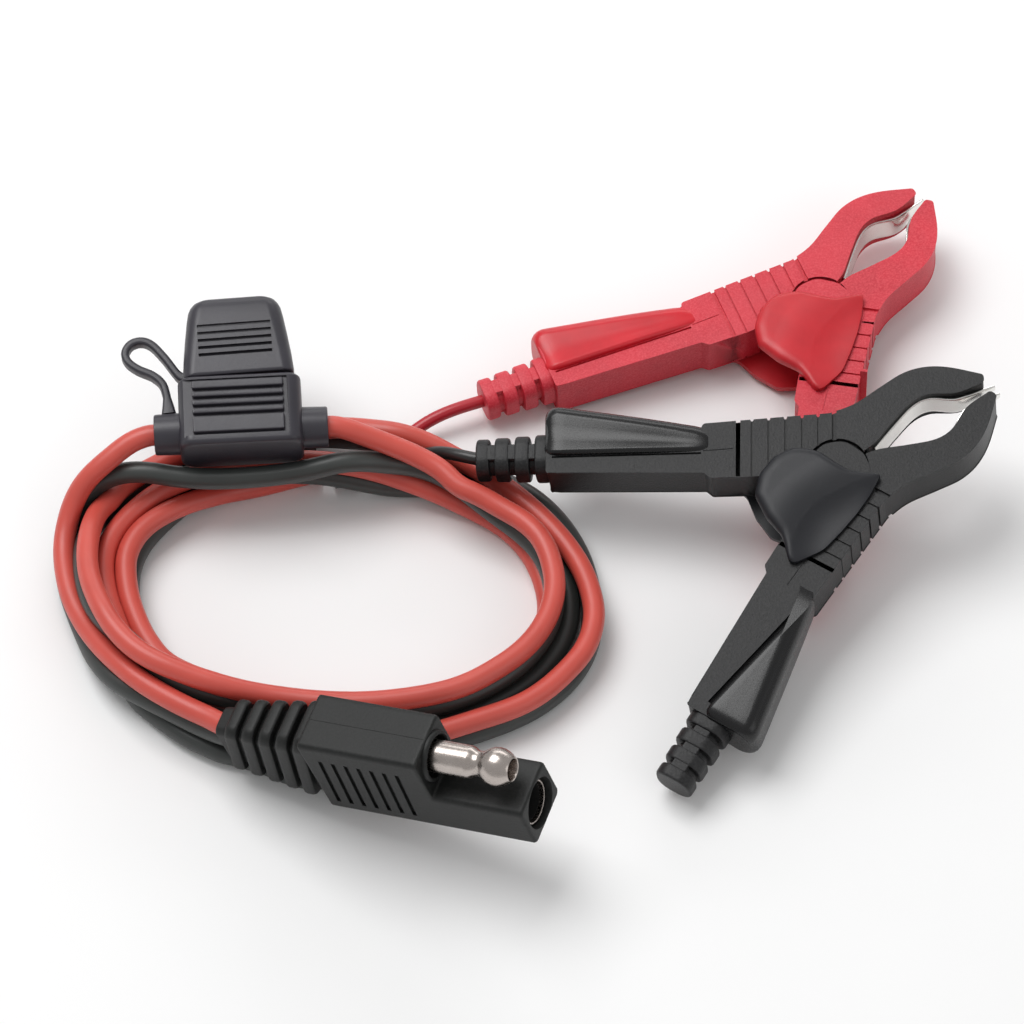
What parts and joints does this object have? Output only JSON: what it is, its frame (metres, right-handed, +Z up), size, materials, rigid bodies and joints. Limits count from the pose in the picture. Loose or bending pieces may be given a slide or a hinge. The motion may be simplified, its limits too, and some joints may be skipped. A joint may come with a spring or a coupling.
{
  "type": "battery charger lead set",
  "caption": "Flat two-pole bullet connector on a coiled twin cord, with an in-line blade-fuse holder and insulated red and black battery clamps that open on sprung pivots",
  "frame": {"origin": "on the resting surface, under the middle of the box around the connector, the fuse holder and the clamps", "axes": "+Z up; +X from the coil to the clamps, which lie at the +X side; +Y away from the connector, towards the fuse holder and the red clamp"},
  "size_m": [0.1313, 0.1121, 0.0254],
  "materials": {
    "cord_red": "soft matte PVC, lighter sheen on the crown",
    "cord_black": "soft matte PVC",
    "lead_red": "smooth PVC",
    "lead_black": "smooth PVC",
    "connector_rubber": "satin moulded rubber",
    "pin_nickel": "nickel plate, worn",
    "fuse_grey": "satin grey rubber",
    "clip_brass": "plain",
    "fuse_plastic": "translucent nylon",
    "fuse_blade": "tinned",
    "clamp_red": "fine textured moulding",
    "clamp_black": "fine textured moulding",
    "contact_steel": "bright plated",
    "pin_steel": "plain",
    "spring_steel": "plain"
  },
  "bodies": {
    "lead_set": {"cord_coil": "cord_red", "cord_connector_end": "cord_black", "cord_fuse_end": "cord_red", "cord_upper_turn": "cord_red", "lead_red": "lead_red", "lead_black": "lead_black", "connector_housing": "connector_rubber", "male_pin": "pin_nickel", "female_sleeve": "pin_nickel", "fuse_body": "fuse_grey", "fuse_tether": "fuse_grey", "fuse_clips": "clip_brass", "red_half_a": "clamp_red", "red_contact_a": "contact_steel", "red_pivot_pin": "pin_steel", "red_spring": "spring_steel", "red_crimp": "clip_brass", "black_half_a": "clamp_black", "black_contact_a": "contact_steel", "black_pivot_pin": "pin_steel", "black_spring": "spring_steel", "black_crimp": "clip_brass"},
    "red_moving_half": {"red_half_b": "clamp_red", "red_contact_b": "contact_steel"},
    "black_moving_half": {"black_half_b": "clamp_black", "black_contact_b": "contact_steel"},
    "cap": {"fuse_cap": "fuse_grey"},
    "fuse": {"fuse_insulator": "fuse_plastic", "fuse_blades": "fuse_blade"}
  },
  "joints": [
    {"name": "red_jaw", "type": "hinge", "parent": "lead_set", "child": "red_moving_half", "pos_m": [0.0375, 0.0362, 0.0057], "axis": [0.0336, 0.0401, -0.9986], "range_deg": [0, 28], "stiffness_Nm_per_rad": 0.04, "springref_deg": -28.65, "deforming": ["red_spring"]},
    {"name": "black_jaw", "type": "hinge", "parent": "lead_set", "child": "black_moving_half", "pos_m": [0.0383, 0.0016, 0.0142], "axis": [0.1124, 0.1785, -0.9775], "range_deg": [0, 19], "stiffness_Nm_per_rad": 0.04, "springref_deg": -28.65, "deforming": ["black_spring"]},
    {"name": "cap_pull", "type": "slide", "parent": "lead_set", "child": "cap", "axis": [-0.0597, 0.9763, 0.2079], "range_m": [0, 0.012], "deforming": ["fuse_tether"]},
    {"name": "fuse_pull", "type": "slide", "parent": "lead_set", "child": "fuse", "axis": [-0.0597, 0.9763, 0.2079], "range_m": [0, 0.006]}
  ],
  "couplings": [
    {"joint": "fuse_pull", "follows": "cap_pull", "ratio": 0.5}
  ]
}
